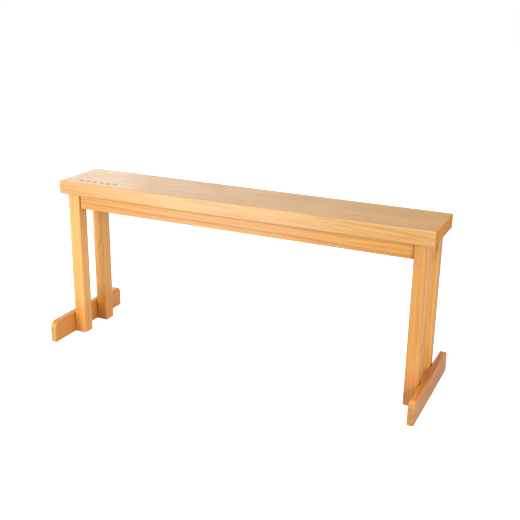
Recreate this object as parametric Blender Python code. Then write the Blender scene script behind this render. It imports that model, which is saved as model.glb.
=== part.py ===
"""Wooden exercise bench: a thick plank on four square posts with rails and foot boards.

The origin is on the floor under the middle of the plank. +X runs along the plank, +Y towards the back
and +Z up. Every length is in metres, and each board, dowel and screw is an object of its own.
"""

import math

import bmesh
import bpy
from mathutils import Vector

# Driving dimensions of the boards.
PLANK_LENGTH = 1.200
PLANK_WIDTH = 0.200
PLANK_THICKNESS = 0.042
BENCH_HEIGHT = 0.522
OVERHANG = 0.018  # how far the plank reaches past the posts, at its ends and its sides
POST_SIDE = 0.040
RAIL_HEIGHT = 0.050
RAIL_THICKNESS = 0.022
RAIL_RECESS = 0.008  # from a post's outer face back to a rail's outer face
FOOT_LENGTH = 0.375
FOOT_HEIGHT = 0.070
FOOT_THICKNESS = 0.020
FOOT_CORNER_RADIUS = 0.022
FOOT_CORNER_SEGMENTS = 6
EDGE_RADIUS = 0.0025
EDGE_SEGMENTS = 3
SEAM = 0.0003  # the gap wherever two pieces meet

# Driving dimensions of the dowels.
DOWEL_RADIUS = 0.004
DOWEL_CHAMFER = 0.001
RAIL_DOWEL_IN_RAIL = 0.020
RAIL_DOWEL_IN_POST = 0.015
FOOT_DOWEL_IN_POST = 0.020
FOOT_DOWEL_IN_FOOT = 0.012
TOP_DOWEL_DEPTH = 0.020  # in the plank, and as much again in the post
TOP_DOWEL_SHIFT = 0.006  # from a post's middle towards its outer corner, clear of the rail dowels
LONG_RAIL_DOWEL_DEPTHS = {"upper": 0.010, "lower": 0.032}  # below the plank
END_RAIL_DOWEL_DEPTHS = {"upper": 0.018, "lower": 0.040}
FOOT_DOWEL_HEIGHTS = {"upper": 0.052, "lower": 0.018}

# Driving dimensions of the screws that hold the plank down on the long rails.
SCREW_LENGTH = 0.052
SCREW_HEAD_RADIUS = 0.0042
SCREW_HEAD_HEIGHT = 0.003
SCREW_HEAD_RIM = 0.0012
SCREW_SHANK_RADIUS = 0.002
SCREW_TIP_LENGTH = 0.006
SCREW_SINK = 0.022  # depth of the counterbore in the rail's lower edge
COUNTERBORE_RADIUS = 0.0055
SCREW_SPACING = 0.360
RECESS_DEPTH = 0.0015
RECESS_LENGTH = 0.0044
RECESS_WIDTH = 0.0011

ROUND_SIDES = 16
SMOOTH_ANGLE = math.radians(30)
SIDE_SIGNS = {"left": -1, "right": 1}
DEPTH_SIGNS = {"front": -1, "rear": 1}

# Planes that several pieces share.
UNDERSIDE = BENCH_HEIGHT - PLANK_THICKNESS
POST_OUTER_X = PLANK_LENGTH / 2 - OVERHANG
POST_OUTER_Y = PLANK_WIDTH / 2 - OVERHANG
POST_INNER_X = POST_OUTER_X - POST_SIDE
POST_INNER_Y = POST_OUTER_Y - POST_SIDE
RAIL_MIDDLE_X = POST_OUTER_X - RAIL_RECESS - RAIL_THICKNESS / 2
RAIL_MIDDLE_Y = POST_OUTER_Y - RAIL_RECESS - RAIL_THICKNESS / 2
RAIL_BOTTOM = UNDERSIDE - RAIL_HEIGHT


def make_material(name, color, roughness, metallic=0.0):
    material = bpy.data.materials.new(name)
    material.use_nodes = True
    shader = material.node_tree.nodes["Principled BSDF"]
    shader.inputs["Base Color"].default_value = (*color, 1.0)
    shader.inputs["Roughness"].default_value = roughness
    shader.inputs["Metallic"].default_value = metallic
    return material


def add_object(name, mesh, material, location=(0, 0, 0), axis=None):
    """Links a mesh as an object, with its own +Z turned to lie along the axis."""
    piece = bpy.data.objects.new(name, mesh)
    piece.location = location
    if axis is not None:
        piece.rotation_mode = "QUATERNION"
        piece.rotation_quaternion = Vector(axis).to_track_quat("Z", "Y")
    if material is not None and not mesh.materials:
        mesh.materials.append(material)
    bpy.context.scene.collection.objects.link(piece)
    return piece


def finish_mesh(name, bm):
    bmesh.ops.recalc_face_normals(bm, faces=bm.faces)
    mesh = bpy.data.meshes.new(name)
    bm.to_mesh(mesh)
    bm.free()
    mesh.shade_smooth()
    mesh.set_sharp_from_angle(angle=SMOOTH_ANGLE)
    return mesh


def box_bmesh(size):
    bm = bmesh.new()
    bmesh.ops.create_cube(bm, size=1.0)
    bmesh.ops.scale(bm, vec=size, verts=bm.verts)
    return bm


def add_board(name, low, high, material, round_top_ends=False):
    """A squared board between two corners, its edges eased. A foot board's top ends are rounded first."""
    low, high = Vector(low), Vector(high)
    bm = box_bmesh(high - low)
    if round_top_ends:
        top_ends = [
            edge
            for edge in bm.edges
            if all(vert.co.z > 0 for vert in edge.verts)
            and edge.verts[0].co.y * edge.verts[1].co.y > 0
        ]
        bmesh.ops.bevel(
            bm,
            geom=top_ends,
            offset=FOOT_CORNER_RADIUS,
            segments=FOOT_CORNER_SEGMENTS,
            profile=0.5,
            affect="EDGES",
        )
    board = add_object(name, finish_mesh(name, bm), material, location=(low + high) / 2)
    easing = board.modifiers.new("eased_edges", "BEVEL")
    easing.width = EDGE_RADIUS
    easing.segments = EDGE_SEGMENTS
    easing.limit_method = "ANGLE"
    easing.angle_limit = SMOOTH_ANGLE
    return board


def turned_mesh(name, profile, sides=ROUND_SIDES):
    """A closed solid turned about Z, from (radius, height) points that start and end on the axis."""
    bm = bmesh.new()
    points = [bm.verts.new((radius, 0.0, height)) for radius, height in profile]
    edges = [bm.edges.new(pair) for pair in zip(points, points[1:])]
    bmesh.ops.spin(
        bm,
        geom=points + edges,
        cent=(0.0, 0.0, 0.0),
        axis=(0.0, 0.0, 1.0),
        angle=2 * math.pi,
        steps=sides,
        use_merge=True,
    )
    bmesh.ops.remove_doubles(bm, verts=bm.verts, dist=SEAM / 10)
    return finish_mesh(name, bm)


def cylinder_profile(radius, low, high, chamfer=0.0):
    """The outline of a rod between two heights, with its rims chamfered when asked."""
    rims = [(radius, low), (radius, high)]
    if chamfer:
        rims = [
            (radius - chamfer, low),
            (radius, low + chamfer),
            (radius, high - chamfer),
            (radius - chamfer, high),
        ]
    return [(0.0, low), *rims, (0.0, high)]


def cut(pieces, mesh, location, axis):
    """Takes one cutter's shape out of every piece given."""
    cutter = add_object(mesh.name, mesh, None, location, axis)
    cutter.hide_render = True
    cutter.display_type = "WIRE"
    for piece in pieces:
        bore = piece.modifiers.new(cutter.name, "BOOLEAN")
        bore.operation = "DIFFERENCE"
        bore.solver = "EXACT"
        bore.object = cutter


def add_dowel(name, joint, axis, depth_behind, depth_ahead, boards, material):
    """A dowel through the joint face, with its depths in the board behind and in the board ahead."""
    low, high = -depth_behind, depth_ahead
    rod = cylinder_profile(DOWEL_RADIUS, low + SEAM, high - SEAM, DOWEL_CHAMFER)
    bore = cylinder_profile(DOWEL_RADIUS + SEAM, low, high)
    cut(boards, turned_mesh(name + "_bore", bore), joint, axis)
    return add_object(name, turned_mesh(name, rod), material, joint, axis)


def add_screw(name, x, y, rail, plank, material):
    """A pan-headed wood screw that comes up through a counterbored hole in a rail into the plank."""
    seat = Vector((x, y, RAIL_BOTTOM + SCREW_SINK))
    tip = SCREW_LENGTH + SEAM
    shank_end = tip - SCREW_TIP_LENGTH
    body = [
        (0.0, SEAM - SCREW_HEAD_HEIGHT),
        (SCREW_HEAD_RADIUS - SCREW_HEAD_RIM, SEAM - SCREW_HEAD_HEIGHT),
        (SCREW_HEAD_RADIUS, SEAM - SCREW_HEAD_HEIGHT + SCREW_HEAD_RIM),
        (SCREW_HEAD_RADIUS, -SEAM),
        (SCREW_SHANK_RADIUS, -SEAM),
        (SCREW_SHANK_RADIUS, shank_end),
        (0.0, tip),
    ]
    bore_radius = SCREW_SHANK_RADIUS + SEAM
    below_rail = -SCREW_SINK - EDGE_RADIUS
    hole = [
        (0.0, below_rail),
        (COUNTERBORE_RADIUS, below_rail),
        (COUNTERBORE_RADIUS, 0.0),
        (bore_radius, 0.0),
        (bore_radius, tip + SEAM),
        (0.0, tip + SEAM),
    ]
    up = (0, 0, 1)
    cut([rail, plank], turned_mesh(name + "_bore", hole), seat, up)
    screw = add_object(name, turned_mesh(name, body), material, seat, up)
    head_face = seat + Vector((0, 0, SEAM - SCREW_HEAD_HEIGHT))
    slot_sizes = {
        "_slot_x": (RECESS_LENGTH, RECESS_WIDTH, 2 * RECESS_DEPTH),
        "_slot_y": (RECESS_WIDTH, RECESS_LENGTH, 2 * RECESS_DEPTH),
    }
    for suffix, size in slot_sizes.items():
        slot = finish_mesh(name + suffix, box_bmesh(size))
        cut([screw], slot, head_face, up)
    return screw


def build_boards(woods):
    """The plank, the posts, the long and end rails and the foot boards, by name."""
    boards = {
        "top_plank": add_board(
            "top_plank",
            (-PLANK_LENGTH / 2, -PLANK_WIDTH / 2, UNDERSIDE),
            (PLANK_LENGTH / 2, PLANK_WIDTH / 2, BENCH_HEIGHT),
            woods["plank"],
        )
    }
    half_post = POST_SIDE / 2
    for side, x_sign in SIDE_SIGNS.items():
        for depth, y_sign in DEPTH_SIGNS.items():
            name = f"post_{depth}_{side}"
            x = x_sign * (POST_OUTER_X - half_post)
            y = y_sign * (POST_OUTER_Y - half_post)
            boards[name] = add_board(
                name,
                (x - half_post, y - half_post, 0.0),
                (x + half_post, y + half_post, UNDERSIDE - SEAM),
                woods["post"],
            )

    half_rail = RAIL_THICKNESS / 2
    rail_top = UNDERSIDE - SEAM
    long_half = POST_INNER_X - SEAM
    for depth, y_sign in DEPTH_SIGNS.items():
        name = f"rail_{depth}"
        y = y_sign * RAIL_MIDDLE_Y
        boards[name] = add_board(
            name,
            (-long_half, y - half_rail, RAIL_BOTTOM),
            (long_half, y + half_rail, rail_top),
            woods["rail"],
        )
    short_half = POST_INNER_Y - SEAM
    for side, x_sign in SIDE_SIGNS.items():
        name = f"rail_{side}"
        x = x_sign * RAIL_MIDDLE_X
        boards[name] = add_board(
            name,
            (x - half_rail, -short_half, RAIL_BOTTOM),
            (x + half_rail, short_half, rail_top),
            woods["rail"],
        )

    half_foot = FOOT_THICKNESS / 2
    for side, x_sign in SIDE_SIGNS.items():
        name = f"foot_board_{side}"
        x = x_sign * (POST_OUTER_X + SEAM + half_foot)
        boards[name] = add_board(
            name,
            (x - half_foot, -FOOT_LENGTH / 2, 0.0),
            (x + half_foot, FOOT_LENGTH / 2, FOOT_HEIGHT),
            woods["foot"],
            round_top_ends=True,
        )
    return boards


def build_dowels(boards, wood):
    """Two dowels where each rail or foot board meets a post, and one from each post into the plank."""
    for side, x_sign in SIDE_SIGNS.items():
        for depth, y_sign in DEPTH_SIGNS.items():
            corner = f"{depth}_{side}"
            post = boards[f"post_{corner}"]
            for level, drop in LONG_RAIL_DOWEL_DEPTHS.items():
                add_dowel(
                    f"dowel_long_rail_{corner}_{level}",
                    (x_sign * POST_INNER_X, y_sign * RAIL_MIDDLE_Y, UNDERSIDE - drop),
                    (x_sign, 0, 0),
                    RAIL_DOWEL_IN_RAIL,
                    RAIL_DOWEL_IN_POST,
                    [post, boards[f"rail_{depth}"]],
                    wood,
                )
            for level, drop in END_RAIL_DOWEL_DEPTHS.items():
                add_dowel(
                    f"dowel_end_rail_{corner}_{level}",
                    (x_sign * RAIL_MIDDLE_X, y_sign * POST_INNER_Y, UNDERSIDE - drop),
                    (0, y_sign, 0),
                    RAIL_DOWEL_IN_RAIL,
                    RAIL_DOWEL_IN_POST,
                    [post, boards[f"rail_{side}"]],
                    wood,
                )
            post_x = x_sign * (POST_OUTER_X - POST_SIDE / 2)
            post_y = y_sign * (POST_OUTER_Y - POST_SIDE / 2)
            for level, height in FOOT_DOWEL_HEIGHTS.items():
                add_dowel(
                    f"dowel_foot_{corner}_{level}",
                    (x_sign * POST_OUTER_X, post_y, height),
                    (x_sign, 0, 0),
                    FOOT_DOWEL_IN_POST,
                    FOOT_DOWEL_IN_FOOT,
                    [post, boards[f"foot_board_{side}"]],
                    wood,
                )
            add_dowel(
                f"dowel_top_{corner}",
                (post_x + x_sign * TOP_DOWEL_SHIFT, post_y + y_sign * TOP_DOWEL_SHIFT, UNDERSIDE),
                (0, 0, 1),
                TOP_DOWEL_DEPTH,
                TOP_DOWEL_DEPTH,
                [post, boards["top_plank"]],
                wood,
            )


def build_screws(boards, steel):
    """Three screws up through each long rail."""
    stations = {"left": -SCREW_SPACING, "middle": 0.0, "right": SCREW_SPACING}
    for depth, y_sign in DEPTH_SIGNS.items():
        for station, x in stations.items():
            add_screw(
                f"screw_{depth}_{station}",
                x,
                y_sign * RAIL_MIDDLE_Y,
                boards[f"rail_{depth}"],
                boards["top_plank"],
                steel,
            )


def build_bench():
    woods = {
        "plank": make_material("plank_pine", (0.73, 0.41, 0.15), 0.42),
        "post": make_material("post_pine", (0.74, 0.37, 0.10), 0.42),
        "rail": make_material("rail_pine", (0.70, 0.34, 0.08), 0.42),
        "foot": make_material("foot_pine", (0.58, 0.24, 0.05), 0.45),
    }
    beech = make_material("dowel_beech", (0.62, 0.42, 0.25), 0.60)
    steel = make_material("screw_steel", (0.68, 0.68, 0.66), 0.32, metallic=1.0)
    boards = build_boards(woods)
    build_dowels(boards, beech)
    build_screws(boards, steel)


for leftover in list(bpy.data.objects):
    bpy.data.objects.remove(leftover)
build_bench()
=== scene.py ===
"""Looks of the wooden exercise bench: lacquered pine boards, beech dowels and zinc-plated screws.

Each CAD board is replaced by a finer one in the same place. The dowels and screws keep their CAD shapes.
"""

import math
from dataclasses import dataclass

import bmesh
import bpy
from mathutils import Euler, Matrix, Vector


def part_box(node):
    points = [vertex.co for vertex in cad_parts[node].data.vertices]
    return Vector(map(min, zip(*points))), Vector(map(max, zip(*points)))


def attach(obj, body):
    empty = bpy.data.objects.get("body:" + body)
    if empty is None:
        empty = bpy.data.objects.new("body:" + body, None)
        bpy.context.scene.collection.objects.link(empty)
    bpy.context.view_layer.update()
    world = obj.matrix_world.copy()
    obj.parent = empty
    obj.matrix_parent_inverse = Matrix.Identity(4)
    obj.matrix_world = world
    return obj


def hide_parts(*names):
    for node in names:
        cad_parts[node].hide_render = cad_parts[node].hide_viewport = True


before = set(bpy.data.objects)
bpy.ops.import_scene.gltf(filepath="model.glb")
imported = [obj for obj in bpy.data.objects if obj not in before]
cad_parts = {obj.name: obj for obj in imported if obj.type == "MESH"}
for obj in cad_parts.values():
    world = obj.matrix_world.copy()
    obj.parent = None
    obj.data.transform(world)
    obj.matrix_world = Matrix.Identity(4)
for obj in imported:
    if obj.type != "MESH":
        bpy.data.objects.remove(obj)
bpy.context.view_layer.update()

# Shapes. Lengths are in metres.
EDGE_RADIUS = 0.0025
EDGE_SEGMENTS = 6
FOOT_CORNER_RADIUS = 0.022
FOOT_CORNER_SEGMENTS = 16
BORE_CLEARANCE = 0.0003
BORE_SIDES = 32
COUNTERBORE_RADIUS = 0.0055
SCREW_SHANK_RADIUS = 0.002
SCREW_HEAD_HEIGHT = 0.003
SHARP_ANGLE = math.radians(30)
SEAM_REACH = 0.001  # boards closer than this touch

# Turns a board's own frame, with its grain along +X, so that the grain lies along a world axis.
GRAIN_TURNS = {
    "X": Euler((0, 0, 0)),
    "Y": Euler((0, 0, math.radians(90))),
    "Z": Euler((0, math.radians(-90), 0)),
}

# Linear colours of the early and the late wood of each kind of board, with the lacquer on.
PLANK = (0.652, 0.368, 0.114), (0.566, 0.262, 0.057)
PALE_POST = (0.885, 0.478, 0.140), (0.750, 0.306, 0.054)
POST = (0.659, 0.326, 0.078), (0.527, 0.188, 0.026)
REAR_POST = (0.680, 0.350, 0.078), (0.555, 0.212, 0.029)
RAIL = (0.655, 0.330, 0.057), (0.479, 0.167, 0.017)
FOOT = (0.733, 0.316, 0.056), (0.537, 0.171, 0.022)
# The right foot board is darker than the left: partly its own wood, and partly painted shade from the plank
# and posts above it.
SHADED_DARK_FOOT = (0.660, 0.265, 0.038), (0.390, 0.115, 0.013)

# What multiplies a board's colour on its sawn ends.
SAWN_END = (0.96, 0.95, 0.90)
PLANK_END = (0.85, 0.594, 0.127)
LEFT_FOOT_END = (0.95, 1.20, 2.15)
RIGHT_FOOT_END = (0.82, 0.98, 1.70)

# What multiplies a board's colour: painted shade in the corners between boards and along their seams, and
# tones where lacquer is thicker or has soaked in.
SEAM_SHADE = (0.55, 0.26, 0.10, 1.0)
CORNER_SHADE = (0.70, 0.43, 0.0, 1.0)
BLUSH = (1.0, 0.86, 0.74, 1.0)
AMBER = (0.92, 0.74, 0.50, 1.0)

RESIN_BROWN = (0.30, 0.13, 0.04, 1.0)
SANDED_EDGE = (0.74, 0.50, 0.25, 1.0)
KNOT_BROWN = (0.22, 0.085, 0.025, 1.0)
BURNT_BROWN = (0.22, 0.055, 0.010, 1.0)

COAT_WEIGHT = 0.8
COAT_ROUGHNESS = 0.34


@dataclass
class Knot:
    """A twig or resin streak in a board, in the board's own frame."""

    point: tuple  # a point on its axis
    axis: tuple
    radius: float


@dataclass
class Timber:
    """How a board was cut from its log, in the board's own frame, with the grain along X."""

    slot: str  # the record's material slot, which this script doesn't use
    grain: str  # the world axis along which the grain runs
    pith: tuple  # where the log's centre line passes the board's middle
    lean: tuple  # how far that line moves sideways per metre
    ring: float  # width of a growth ring
    seed: float  # picks the board's own part of the noise
    colors: tuple  # of the early and the late wood
    contrast: float  # of the growth rings
    knots: tuple = ()
    end_tint: tuple = SAWN_END
    painted_shade: float = 0.28  # strength of the painted shade round the foot boards


TIMBERS = {
    "top_plank": Timber(
        "plank_pine", "X", (0, 0.05, -0.12), (0, 0.02, -0.03), 0.0085, 1.0, PLANK, 0.55, end_tint=PLANK_END
    ),
    "rail_front": Timber("rail_pine", "X", (0, 0.015, -0.03), (0, 0.004, -0.010), 0.011, 2.0, RAIL, 0.75),
    "rail_rear": Timber("rail_pine", "X", (0, -0.02, -0.12), (0, 0.01, 0.012), 0.009, 3.0, RAIL, 0.65),
    "rail_left": Timber("rail_pine", "Y", (0, 0.08, -0.04), (0, 0.02, 0.0), 0.007, 4.0, RAIL, 0.6),
    "rail_right": Timber("rail_pine", "Y", (0, -0.07, 0.05), (0, 0.0, 0.02), 0.007, 5.0, RAIL, 0.6),
    "post_front_left": Timber(
        "post_pine", "Z", (0, 0.05, -0.13), (0, 0.02, 0.015), 0.0060, 6.0, PALE_POST, 1.1,
        knots=(Knot((0.106, 0.0, -0.0105), (0.0, 1.0, 0.1), 0.0016),), painted_shade=0.55,
    ),
    "post_front_right": Timber(
        "post_pine", "Z", (0, 0.01, 0.16), (0, 0.0, 0.01), 0.0078, 7.0, POST, 1.0, painted_shade=0.50
    ),
    "post_rear_left": Timber(
        "post_pine", "Z", (0, 0.03, -0.05), (0, 0.03, 0.06), 0.0055, 8.0, PALE_POST, 1.2,
        knots=(Knot((0.033, -0.020, 0.0), (1.0, 0.05, -0.36), 0.0012),), painted_shade=0.75,
    ),
    "post_rear_right": Timber(
        "post_pine", "Z", (0, 0.05, 0.12), (0, 0.01, -0.01), 0.008, 9.0, REAR_POST, 0.9
    ),
    "foot_board_left": Timber(
        "foot_pine", "Y", (0, 0.06, -0.10), (0, 0.02, 0.03), 0.006, 10.0, FOOT, 0.8, end_tint=LEFT_FOOT_END
    ),
    "foot_board_right": Timber(
        "foot_pine", "Y", (0, -0.09, -0.08), (0, 0.02, 0.03), 0.0075, 11.0, SHADED_DARK_FOOT, 1.1,
        end_tint=RIGHT_FOOT_END,
    ),
}


class Graph:
    """A node tree with short ways to add nodes. A value given to a node may be another node's output."""

    def __init__(self, tree):
        self.tree = tree

    def node(self, kind, inputs=None, **settings):
        node = self.tree.nodes.new(kind)
        for name, value in settings.items():
            setattr(node, name, value)
        for key, value in (inputs or {}).items():
            if isinstance(value, bpy.types.NodeSocket):
                self.tree.links.new(value, node.inputs[key])
            else:
                node.inputs[key].default_value = value
        return node

    def math(self, operation, first, second=0.0):
        return self.node("ShaderNodeMath", {0: first, 1: second}, operation=operation).outputs[0]

    def vector(self, operation, first, second=(0.0, 0.0, 0.0)):
        node = self.node("ShaderNodeVectorMath", {0: first, 1: second}, operation=operation)
        is_number = operation in ("LENGTH", "DOT_PRODUCT", "DISTANCE")
        return node.outputs["Value" if is_number else "Vector"]

    def scaled(self, vector, factor):
        node = self.node("ShaderNodeVectorMath", {0: vector, "Scale": factor}, operation="SCALE")
        return node.outputs["Vector"]

    def split(self, vector):
        return self.node("ShaderNodeSeparateXYZ", {0: vector}).outputs

    def noise(self, coordinates, scale, detail=2.0, roughness=0.5, output=0):
        """Noise that changes scale times per metre along each axis. Output 0 is a number, 1 a colour."""
        stretched = self.vector("MULTIPLY", coordinates, scale)
        inputs = {"Vector": stretched, "Scale": 1.0, "Detail": detail, "Roughness": roughness}
        return self.node("ShaderNodeTexNoise", inputs).outputs[output]

    def smooth_step(self, value, low, high, start=0.0, end=1.0):
        inputs = {"Value": value, "From Min": low, "From Max": high, "To Min": start, "To Max": end}
        return self.node("ShaderNodeMapRange", inputs, interpolation_type="SMOOTHSTEP").outputs["Result"]

    def swing(self, value, amount):
        """A factor around 1 that follows a noise value around 0.5."""
        return self.math("ADD", self.math("MULTIPLY", self.math("SUBTRACT", value, 0.5), 2 * amount), 1.0)

    def mix_color(self, factor, first, second, blend="MIX"):
        inputs = {0: factor, 6: first, 7: second}
        return self.node("ShaderNodeMix", inputs, data_type="RGBA", blend_type=blend).outputs[2]


def build_pine_group():
    """Growth rings, fibres and lacquer of a pine board, as one node group that every board shares."""
    tree = bpy.data.node_groups.new("lacquered_pine", "ShaderNodeTree")
    kinds = {
        "Coordinates": "NodeSocketVector",
        "Normal": "NodeSocketVector",
        "Half Size": "NodeSocketVector",
        "Pith": "NodeSocketVector",
        "Lean": "NodeSocketVector",
        "Ring": "NodeSocketFloat",
        "Seed": "NodeSocketFloat",
        "Early Wood": "NodeSocketColor",
        "Late Wood": "NodeSocketColor",
        "Contrast": "NodeSocketFloat",
        "End Tint": "NodeSocketColor",
        "Knot Bulge": "NodeSocketFloat",
        "Knot": "NodeSocketFloat",
    }
    for name, kind in kinds.items():
        tree.interface.new_socket(name, in_out="INPUT", socket_type=kind)
    results = {
        "Color": "NodeSocketColor",
        "Roughness": "NodeSocketFloat",
        "Height": "NodeSocketFloat",
        "Coat": "NodeSocketFloat",
    }
    for name, kind in results.items():
        tree.interface.new_socket(name, in_out="OUTPUT", socket_type=kind)
    g = Graph(tree)
    given = g.node("NodeGroupInput").outputs
    wander_size, waver_size = 0.016, 0.0016
    faintest_year = 0.4
    band_swing, fibre_swing = 0.14, 0.20
    blush_strength, amber_strength, canal_strength, edge_strength = 0.35, 0.85, 0.25, 0.06
    least_roughness, fibre_roughness = 0.36, 0.16
    fibre_height, ring_height, canal_depth = 0.6, 0.5, 0.8
    end_ring_loss, end_coat_loss, end_roughness = 0.8, 0.6, 0.14

    # Each board reads its own part of the noise.
    seed = g.node("ShaderNodeCombineXYZ", {0: given["Seed"], 1: given["Seed"], 2: given["Seed"]}).outputs[0]
    shift = g.vector("MULTIPLY", seed, (7.3, 3.1, 5.7))
    place = g.vector("ADD", given["Coordinates"], shift)

    # Distance from the pith, which leans and wanders along the log.
    half = (0.5, 0.5, 0.5)
    wander = g.vector("SUBTRACT", g.noise(place, (1.1, 7, 7), 2.0, output=1), half)
    waver = g.vector("SUBTRACT", g.noise(place, (7, 45, 45), 2.0, output=1), half)
    warped = g.vector("ADD", given["Coordinates"], g.scaled(wander, wander_size))
    warped = g.vector("ADD", warped, g.scaled(waver, waver_size))
    along = g.split(given["Coordinates"])[0]
    axis = g.vector("ADD", given["Pith"], g.scaled(given["Lean"], along))
    across = g.vector("MULTIPLY", g.vector("SUBTRACT", warped, axis), (0.0, 1.0, 1.0))
    fibre_place = g.node("ShaderNodeCombineXYZ", {0: along}).outputs[0]
    fibre_place = g.vector("ADD", g.vector("ADD", fibre_place, across), shift)
    radius = g.math("ADD", g.vector("LENGTH", across), given["Knot Bulge"])

    # One growth ring per year: pale early wood that darkens to late wood and then stops short.
    years = g.math("DIVIDE", radius, given["Ring"])
    slow = {"W": g.math("MULTIPLY", years, 0.35), "Scale": 1.0}
    uneven = g.node("ShaderNodeTexNoise", slow, noise_dimensions="1D")
    years = g.math("ADD", years, g.math("MULTIPLY", uneven.outputs[0], 1.6))
    season = g.math("FRACT", years)
    year = g.node("ShaderNodeTexWhiteNoise", {"W": g.math("FLOOR", years)}, noise_dimensions="1D")
    strength = g.math("MULTIPLY", year.outputs["Value"], 1 - faintest_year)
    strength = g.math("ADD", strength, faintest_year)
    rise = g.smooth_step(season, 0.30, 0.90)
    fall = g.smooth_step(season, 0.93, 1.0, 1.0, 0.0)
    late = g.math("MULTIPLY", g.math("MULTIPLY", rise, fall), strength)
    late = g.math("MULTIPLY", late, given["Contrast"])

    # Sawn ends drink the lacquer, so they are duller, with fainter rings and open pores.
    facing = g.math("ABSOLUTE", g.split(given["Normal"])[0])
    end = g.smooth_step(facing, 0.55, 0.95)
    late = g.math("MULTIPLY", late, g.math("SUBTRACT", 1.0, g.math("MULTIPLY", end, end_ring_loss)))

    # Tones along the grain: broad bands, streaks and fine fibres.
    bands = g.noise(fibre_place, (1.6, 18, 18), 3.0)
    streaks = g.noise(fibre_place, (4.0, 150, 150), 3.0, 0.6)
    fibres = g.noise(fibre_place, (22, 800, 800), 4.0, 0.65)
    tone = g.math("MULTIPLY", g.swing(bands, band_swing), g.swing(fibres, fibre_swing))
    color = g.mix_color(late, given["Early Wood"], given["Late Wood"])
    blush = g.smooth_step(g.noise(place, (1.0, 11, 11), 2.0), 0.45, 0.7, 0.0, blush_strength)
    color = g.mix_color(blush, color, BLUSH, "MULTIPLY")
    color = g.scaled(color, tone)
    amber = g.smooth_step(streaks, 0.42, 0.70, 0.0, amber_strength)
    color = g.mix_color(amber, color, AMBER, "MULTIPLY")

    # Resin canals: short thin dashes along the grain.
    canals = g.smooth_step(g.noise(place, (60, 1900, 1900), 1.0), 0.66, 0.76)
    canals = g.math("MULTIPLY", canals, canal_strength)
    color = g.mix_color(canals, color, RESIN_BROWN)

    pores = g.smooth_step(g.noise(place, (90, 1500, 1500), 2.0), 0.35, 0.65, 0.80, 1.0)
    end_color = g.mix_color(1.0, g.scaled(color, pores), given["End Tint"], "MULTIPLY")
    color = g.mix_color(end, color, end_color)

    # Eased edges, where sanding leaves the wood a little paler.
    inset = g.vector("SUBTRACT", given["Half Size"], g.vector("ABSOLUTE", given["Coordinates"]))
    x, y, z = g.split(inset)[0:3]
    nearest = g.math("MINIMUM", g.math("MAXIMUM", x, y), g.math("MAXIMUM", y, z))
    nearest = g.math("MINIMUM", nearest, g.math("MAXIMUM", x, z))
    edge = g.smooth_step(nearest, 0.0008, 0.0035, edge_strength, 0.0)
    color = g.mix_color(edge, color, SANDED_EDGE)

    color = g.mix_color(given["Knot"], color, KNOT_BROWN)

    roughness = g.math("ADD", g.math("MULTIPLY", fibres, fibre_roughness), least_roughness)
    roughness = g.math("ADD", roughness, g.math("MULTIPLY", end, end_roughness))
    height = g.math("ADD", g.math("MULTIPLY", fibres, fibre_height), g.math("MULTIPLY", late, ring_height))
    height = g.math("SUBTRACT", height, g.math("MULTIPLY", canals, canal_depth))
    coat = g.math("SUBTRACT", COAT_WEIGHT, g.math("MULTIPLY", end, end_coat_loss))
    g.node("NodeGroupOutput", {"Color": color, "Roughness": roughness, "Height": height, "Coat": coat})
    return tree


def add_knots(g, coordinates, knots, ring):
    """How far the growth rings bulge round the knots, and where the knots' own dark wood shows."""
    bulge_reach, bulge_height = 3.5, 1.6  # in knot radii, and in growth rings
    stretch = (0.6, 1.0, 1.0)
    bulge, dark = 0.0, 0.0
    for knot in knots:
        axis = Vector(knot.axis).normalized()
        offset = g.vector("SUBTRACT", coordinates, knot.point)
        shadow = g.scaled(tuple(axis), g.vector("DOT_PRODUCT", offset, tuple(axis)))
        away = g.vector("SUBTRACT", offset, shadow)
        distance = g.vector("LENGTH", g.vector("MULTIPLY", away, stretch))
        spread = g.math("POWER", g.math("DIVIDE", distance, bulge_reach * knot.radius), 2.0)
        bell = g.math("EXPONENT", g.math("MULTIPLY", spread, -1.0))
        swell = g.math("MULTIPLY", bell, bulge_height * ring)
        bulge = g.math("ADD", swell, bulge)
        heart = g.smooth_step(distance, 0.55 * knot.radius, 1.15 * knot.radius, 0.75, 0.0)
        dark = g.math("MAXIMUM", heart, dark)
    return bulge, dark


def distance_to_boxes(g, coordinates, boxes):
    """Distance to the nearest of some boxes, or a metre when there are none."""
    nearest = 1.0
    for centre, size in boxes:
        offset = g.vector("ABSOLUTE", g.vector("SUBTRACT", coordinates, tuple(centre)))
        outside = g.vector("MAXIMUM", g.vector("SUBTRACT", offset, tuple(size / 2)))
        nearest = g.math("MINIMUM", g.vector("LENGTH", outside), nearest)
    return nearest


def add_painted_shade(g, coordinates, upper, lower, timber, color):
    """Painted shade in the corners between boards: an amber darkening near each neighbour, and a dark line
    along each seam.

    The shade reaches furthest round the foot boards. Under the plank and rails it is on the posts alone.
    """
    line_start, line_end, line_strength = 0.0005, 0.004, 0.45
    lower_reach, upper_reach, upper_strength = 0.080, 0.035, 0.22
    upper_seam = distance_to_boxes(g, coordinates, upper)
    lower_seam = distance_to_boxes(g, coordinates, lower)
    # Painted shade round the foot boards, and on the posts under the plank and rails.
    painted_shade = g.smooth_step(lower_seam, 0.0, lower_reach, timber.painted_shade, 0.0)
    if timber.grain == "Z":
        painted_shade = g.math("ADD", painted_shade, g.smooth_step(upper_seam, 0.0, upper_reach, upper_strength, 0.0))
    color = g.mix_color(painted_shade, color, CORNER_SHADE, "MULTIPLY")
    # Painted shade: a dark line along each seam.
    nearest = g.math("MINIMUM", upper_seam, lower_seam)
    line = g.smooth_step(nearest, line_start, line_end, line_strength, 0.0)
    return g.mix_color(line, color, SEAM_SHADE, "MULTIPLY")


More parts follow.
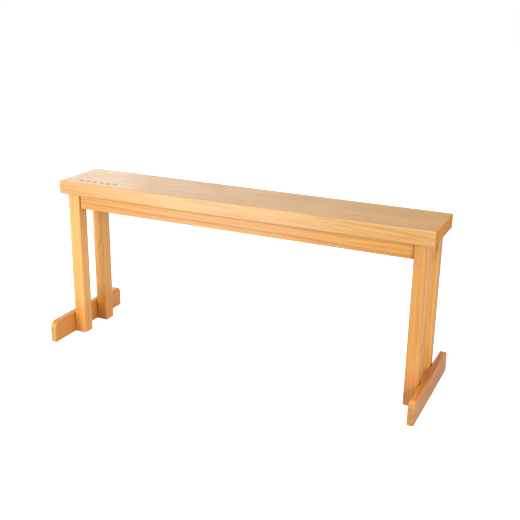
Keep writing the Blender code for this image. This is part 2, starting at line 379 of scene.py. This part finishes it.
def motif_mask(g, coordinates, normal):
    """A row of small plain diamonds on the plank's top near one corner."""
    start, pitch, count = -0.550, 0.025, 6
    middle_y, half_length, half_width = -0.066, 0.0095, 0.0095
    solid_to, clear_from = 0.85, 1.05  # shares of the way from a diamond's middle to its edge
    x, y, _ = g.split(coordinates)[0:3]
    steps = g.math("DIVIDE", g.math("SUBTRACT", x, start), pitch)
    across = g.math("ABSOLUTE", g.math("SUBTRACT", y, middle_y))
    along = g.math("ABSOLUTE", g.math("SUBTRACT", g.math("FRACT", steps), 0.5))
    along_share = g.math("MULTIPLY", along, pitch / half_length)
    reach = g.math("ADD", along_share, g.math("DIVIDE", across, half_width))
    inside = g.smooth_step(reach, solid_to, clear_from, 1.0, 0.0)
    after_first = g.math("GREATER_THAN", steps, 0.0)
    in_row = g.math("MULTIPLY", after_first, g.math("LESS_THAN", steps, float(count)))
    on_top = g.math("GREATER_THAN", g.split(normal)[2], 0.7)
    return g.math("MULTIPLY", g.math("MULTIPLY", inside, in_row), on_top)


def new_material(name):
    """A material with its node graph and its surface shader."""
    material = bpy.data.materials.new(name)
    material.use_nodes = True
    return material, Graph(material.node_tree), material.node_tree.nodes["Principled BSDF"]


def pine_material(name, timber, size, seams, group):
    """Lacquered pine as this board was cut, with the mark on the plank."""
    material, g, shader = new_material(name)
    texture = g.node("ShaderNodeTexCoord").outputs
    bulge, dark = add_knots(g, texture["Object"], timber.knots, timber.ring)
    early, late = timber.colors
    wanted = {
        "Coordinates": texture["Object"],
        "Normal": texture["Normal"],
        "Half Size": tuple(size / 2),
        "Pith": timber.pith,
        "Lean": timber.lean,
        "Ring": timber.ring,
        "Seed": timber.seed,
        "Early Wood": (*early, 1.0),
        "Late Wood": (*late, 1.0),
        "Contrast": timber.contrast,
        "End Tint": (*timber.end_tint, 1.0),
        "Knot Bulge": bulge,
        "Knot": dark,
    }
    wood = g.node("ShaderNodeGroup", wanted, node_tree=group).outputs
    color = add_painted_shade(g, texture["Object"], *seams, timber, wood["Color"])
    coat = wood["Coat"]
    if name == "top_plank":
        # The mark is burned in, so it is dark and dull.
        char_strength, coat_loss = 0.88, 0.6
        mark = motif_mask(g, texture["Object"], texture["Normal"])
        color = g.mix_color(g.math("MULTIPLY", mark, char_strength), color, BURNT_BROWN)
        coat = g.math("MULTIPLY", coat, g.math("SUBTRACT", 1.0, g.math("MULTIPLY", mark, coat_loss)))
    bump = g.node("ShaderNodeBump", {"Height": wood["Height"], "Strength": 0.35, "Distance": 0.0004})
    g.tree.links.new(color, shader.inputs["Base Color"])
    g.tree.links.new(wood["Roughness"], shader.inputs["Roughness"])
    g.tree.links.new(bump.outputs["Normal"], shader.inputs["Normal"])
    g.tree.links.new(coat, shader.inputs["Coat Weight"])
    shader.inputs["Coat Roughness"].default_value = COAT_ROUGHNESS
    return material


def beech_material():
    """Bare beech with short dark flecks, for the dowels."""
    dark, pale, brown = (0.42, 0.25, 0.13, 1.0), (0.60, 0.40, 0.24, 1.0), (0.28, 0.15, 0.08, 1.0)
    material, g, shader = new_material("dowel_beech")
    place = g.node("ShaderNodeTexCoord").outputs["Object"]
    grain = g.noise(place, (500, 500, 500), 3.0)
    flecks = g.smooth_step(g.noise(place, (900, 900, 900), 1.0), 0.62, 0.72, 0.0, 0.4)
    color = g.mix_color(grain, dark, pale)
    color = g.mix_color(flecks, color, brown)
    g.tree.links.new(color, shader.inputs["Base Color"])
    g.tree.links.new(g.math("ADD", g.math("MULTIPLY", grain, 0.2), 0.5), shader.inputs["Roughness"])
    return material


def zinc_material():
    """Bright zinc plate with a faint yellow tint in patches."""
    silver, yellow = (0.62, 0.64, 0.66, 1.0), (0.74, 0.70, 0.58, 1.0)
    material, g, shader = new_material("screw_zinc")
    place = g.node("ShaderNodeTexCoord").outputs["Object"]
    patches = g.noise(place, (260, 260, 260), 3.0)
    scuffs = g.noise(place, (2400, 2400, 300), 2.0)
    color = g.mix_color(patches, silver, yellow)
    shader.inputs["Metallic"].default_value = 1.0
    g.tree.links.new(color, shader.inputs["Base Color"])
    g.tree.links.new(g.math("ADD", g.math("MULTIPLY", scuffs, 0.3), 0.2), shader.inputs["Roughness"])
    return material


def box_of(node):
    """The centre and the size of a CAD node's box."""
    low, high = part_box(node)
    return (low + high) / 2, high - low


def turned_size(size, turn):
    """A box's size along a board's own axes."""
    return Vector(abs(value) for value in turn.transposed() @ size)


def bevel_edges(bm, edges, radius, segments):
    bmesh.ops.bevel(bm, geom=edges, offset=radius, segments=segments, profile=0.5, affect="EDGES")


def board_mesh(name, size, round_top_ends):
    """A board in its own frame, with the grain along X and every edge eased."""
    bm = bmesh.new()
    bmesh.ops.create_cube(bm, size=1.0)
    bmesh.ops.scale(bm, vec=size, verts=bm.verts)
    if round_top_ends:
        top_ends = [
            edge
            for edge in bm.edges
            if all(vert.co.z > 0 for vert in edge.verts) and edge.verts[0].co.x * edge.verts[1].co.x > 0
        ]
        bevel_edges(bm, top_ends, FOOT_CORNER_RADIUS, FOOT_CORNER_SEGMENTS)
    sharp = [edge for edge in bm.edges if edge.calc_face_angle() > SHARP_ANGLE]
    bevel_edges(bm, sharp, EDGE_RADIUS, EDGE_SEGMENTS)
    mesh = bpy.data.meshes.new(name)
    bm.to_mesh(mesh)
    bm.free()
    return mesh


def boxes_meet(first, second, reach=0.0):
    """Whether the boxes of two CAD nodes overlap, or come within reach of each other."""
    (centre_a, size_a), (centre_b, size_b) = box_of(first), box_of(second)
    gap = [abs(a - b) - (s + t) / 2 for a, b, s, t in zip(centre_a, centre_b, size_a, size_b)]
    return max(gap) < reach


def seams_of(node, centre, turn):
    """The boxes of the boards that touch this one, in its own frame: upper seams, then foot board seams."""
    upper, lower = [], []
    for other in TIMBERS:
        if other != node and boxes_meet(node, other, SEAM_REACH):
            other_centre, other_size = box_of(other)
            seam = (turn.transposed() @ (other_centre - centre), turned_size(other_size, turn))
            seams = lower if "foot" in node or "foot" in other else upper
            seams.append(seam)
    return upper, lower


def rod(radius, length, centre, axis):
    """A cutter for a round hole."""
    bm = bmesh.new()
    turn = Vector(axis).to_track_quat("Z", "Y").to_matrix().to_4x4()
    bmesh.ops.create_cone(
        bm,
        cap_ends=True,
        segments=BORE_SIDES,
        radius1=radius,
        radius2=radius,
        depth=length,
        matrix=Matrix.Translation(centre) @ turn,
    )
    mesh = bpy.data.meshes.new("bore")
    bm.to_mesh(mesh)
    bm.free()
    cutter = bpy.data.objects.new("bore", mesh)
    bpy.context.scene.collection.objects.link(cutter)
    return cutter


def bores_for(fastener):
    """The cutters that make room for one dowel or screw."""
    centre, size = box_of(fastener)
    longest = max(range(3), key=lambda i: size[i])
    axis = [0.0, 0.0, 0.0]
    axis[longest] = 1.0
    if fastener.startswith("dowel"):
        radius = min(size) / 2 + BORE_CLEARANCE
        return [rod(radius, size[longest] + 2 * BORE_CLEARANCE, centre, axis)]
    low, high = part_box(fastener)
    shank_centre = centre + Vector((0, 0, BORE_CLEARANCE))
    shank = rod(SCREW_SHANK_RADIUS + BORE_CLEARANCE, high.z - low.z, shank_centre, axis)
    seat = low.z + SCREW_HEAD_HEIGHT
    rails_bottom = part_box("rail_front")[0].z
    sink_length = seat - rails_bottom + EDGE_RADIUS
    sink_centre = Vector((centre.x, centre.y, seat - sink_length / 2))
    return [shank, rod(COUNTERBORE_RADIUS, sink_length, sink_centre, axis)]


def drill(board, cutters):
    """Cuts the bores and settles the board's mesh, shaded smooth with its flat faces kept flat."""
    for cutter in cutters:
        bore = board.modifiers.new("bore", "BOOLEAN")
        bore.solver = "EXACT"
        bore.object = cutter
    graph = bpy.context.evaluated_depsgraph_get()
    mesh = bpy.data.meshes.new_from_object(board.evaluated_get(graph))
    board.modifiers.clear()
    mesh.name = board.name
    board.data = mesh
    for cutter in cutters:
        bpy.data.objects.remove(cutter)
    mesh.shade_smooth()
    mesh.set_sharp_from_angle(angle=SHARP_ANGLE)
    normals = board.modifiers.new("flat_faces", "WEIGHTED_NORMAL")
    normals.keep_sharp = True


def build_board(node, timber, fasteners, group):
    """Builds the finer board that stands for one CAD board."""
    centre, size = box_of(node)
    turn = GRAIN_TURNS[timber.grain].to_matrix()
    own_size = turned_size(size, turn)
    mesh = board_mesh(node + "_board", own_size, node.startswith("foot"))
    board = bpy.data.objects.new(node + "_board", mesh)
    board.matrix_world = Matrix.Translation(centre) @ turn.to_4x4()
    bpy.context.scene.collection.objects.link(board)
    bpy.context.view_layer.update()
    cutters = [cutter for name in fasteners if boxes_meet(node, name) for cutter in bores_for(name)]
    drill(board, cutters)
    board.data.materials.clear()
    seams = seams_of(node, centre, turn)
    board.data.materials.append(pine_material(node, timber, own_size, seams, group))
    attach(board, "root")
    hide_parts(node)


def build_bench():
    fasteners = [name for name in sorted(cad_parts) if name.startswith(("dowel", "screw"))]
    group = build_pine_group()
    for node, timber in TIMBERS.items():
        build_board(node, timber, fasteners, group)
    beech, zinc = beech_material(), zinc_material()
    for name in fasteners:
        material = beech if name.startswith("dowel") else zinc
        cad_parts[name].data.materials.clear()
        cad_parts[name].data.materials.append(material)


def build_floor():
    """A pale floor that looks as bright as the backdrop, and sends little light back up to the bench."""
    half_side, depth = 30.0, 0.0005
    dim, pale = (0.15, 0.15, 0.15, 1.0), (0.86, 0.86, 0.86, 1.0)
    seen_glow, mirrored_glow = 0.93, 0.256
    bm = bmesh.new()
    bmesh.ops.create_grid(bm, x_segments=1, y_segments=1, size=half_side)
    mesh = bpy.data.meshes.new("floor")
    bm.to_mesh(mesh)
    bm.free()
    floor = bpy.data.objects.new("floor", mesh)
    floor.location.z = -depth
    bpy.context.scene.collection.objects.link(floor)
    material, g, shader = new_material("floor_white")
    shader.inputs["Roughness"].default_value = 0.7
    shader.inputs["Emission Color"].default_value = (1.0, 1.0, 1.0, 1.0)
    rays = g.node("ShaderNodeLightPath").outputs
    seen, mirrored = rays["Is Camera Ray"], rays["Is Glossy Ray"]
    color = g.mix_color(seen, dim, pale)
    g.tree.links.new(color, shader.inputs["Base Color"])
    glow = g.math("ADD", g.math("MULTIPLY", seen, seen_glow), g.math("MULTIPLY", mirrored, mirrored_glow))
    g.tree.links.new(glow, shader.inputs["Emission Strength"])
    mesh.materials.append(material)


def build_world():
    """White to the camera, and a dim even surround to the bench."""
    dim, white = 0.084, 1.05
    world = bpy.data.worlds.new("studio")
    world.use_nodes = True
    bpy.context.scene.world = world
    g = Graph(world.node_tree)
    background = world.node_tree.nodes["Background"]
    background.inputs["Color"].default_value = (1.0, 1.0, 1.0, 1.0)
    seen = g.node("ShaderNodeLightPath").outputs["Is Camera Ray"]
    strength = g.node("ShaderNodeMix", {0: seen, 2: dim, 3: white}, data_type="FLOAT").outputs[0]
    g.tree.links.new(strength, background.inputs["Strength"])


def add_softbox(name, location, target, width, height, power):
    """A rectangular light that shines towards its target and that the camera doesn't see."""
    light = bpy.data.lights.new(name, "AREA")
    light.shape = "RECTANGLE"
    light.size = width
    light.size_y = height
    light.energy = power
    lamp = bpy.data.objects.new(name, light)
    lamp.location = location
    lamp.rotation_mode = "QUATERNION"
    lamp.rotation_quaternion = (Vector(target) - Vector(location)).to_track_quat("-Z", "Y")
    lamp.visible_camera = False
    bpy.context.scene.collection.objects.link(lamp)
    return lamp


def build_lights():
    middle = (0.0, 0.0, 0.3)
    # Name, place, target, width and height in metres, and power in watts.
    softboxes = [
        ("key_softbox", (-0.6, -1.6, 0.6), (-0.2, 0.0, 0.3), 0.9, 0.8, 5.6),
        ("low_key_softbox", (-0.8, -1.7, 0.3), (-0.3, 0.0, 0.3), 0.9, 0.5, 11),
        ("high_key_softbox", (-1.4, -2.2, 1.2), middle, 1.2, 1.2, 30),
        ("fill_softbox", (2.2, -1.6, 0.9), middle, 1.2, 1.2, 49.5),
        ("far_front_right_softbox", (7.0, -1.5, 1.5), middle, 3.0, 2.5, 73),
        ("far_rear_right_softbox", (6.0, 3.0, 1.5), middle, 3.0, 2.5, 108),
        ("top_softbox", (0.0, 0.0, 2.4), middle, 2.4, 1.2, 29),
        ("top_right_softbox", (1.2, 0.0, 2.0), (0.4, 0.0, 0.5), 1.0, 1.0, 4.7),
    ]
    for softbox in softboxes:
        add_softbox(*softbox)
    rear_fill = add_softbox("rear_fill_softbox", (0.0, 2.6, 0.25), (0.0, 0.0, 0.25), 2.4, 0.4, 14)
    rear_fill.visible_glossy = False
    foot_fill = add_softbox("foot_fill_softbox", (0.2, -1.4, 0.12), (0.50, -0.1, -0.10), 0.3, 0.1, 0.13)
    foot_fill.data.spread = math.radians(25)

    # Strips behind the bench, brightest at the left, that the plank's top mirrors at a low angle.
    # Each has its place along X, its width and its power.
    strips = [(-2.9, 0.8, 7.4), (-2.2, 0.6, 3.1), (-1.6, 0.6, 2.7), (-1.0, 0.6, 2.0), (-0.3, 0.8, 1.7)]
    for number, (x, width, power) in enumerate(strips):
        add_softbox(f"sheen_strip_{number}", (x, 3.0, 1.3), (0.0, 0.0, 0.5), width, 1.2, power)


def build_camera():
    """The camera stands in front of the bench, to its right and above the plank."""
    place = Vector((1.0488, -2.1704, 1.1557))
    azimuth, elevation, roll = math.radians(25.996), math.radians(18.435), math.radians(0.437)
    camera = bpy.data.objects.new("camera", bpy.data.cameras.new("camera"))
    camera.data.lens = 57.95
    camera.data.sensor_width = 36.0
    camera.data.shift_x = 0.0385
    camera.data.shift_y = -0.0192
    level = Euler((math.pi / 2 - elevation, 0.0, azimuth)).to_matrix()
    turn = level @ Matrix.Rotation(roll, 3, "Z")
    camera.matrix_world = Matrix.Translation(place) @ turn.to_4x4()
    bpy.context.scene.collection.objects.link(camera)
    bpy.context.scene.camera = camera


build_bench()
build_floor()
build_world()
build_lights()
build_camera()
bpy.context.scene.view_settings.view_transform = "Standard"
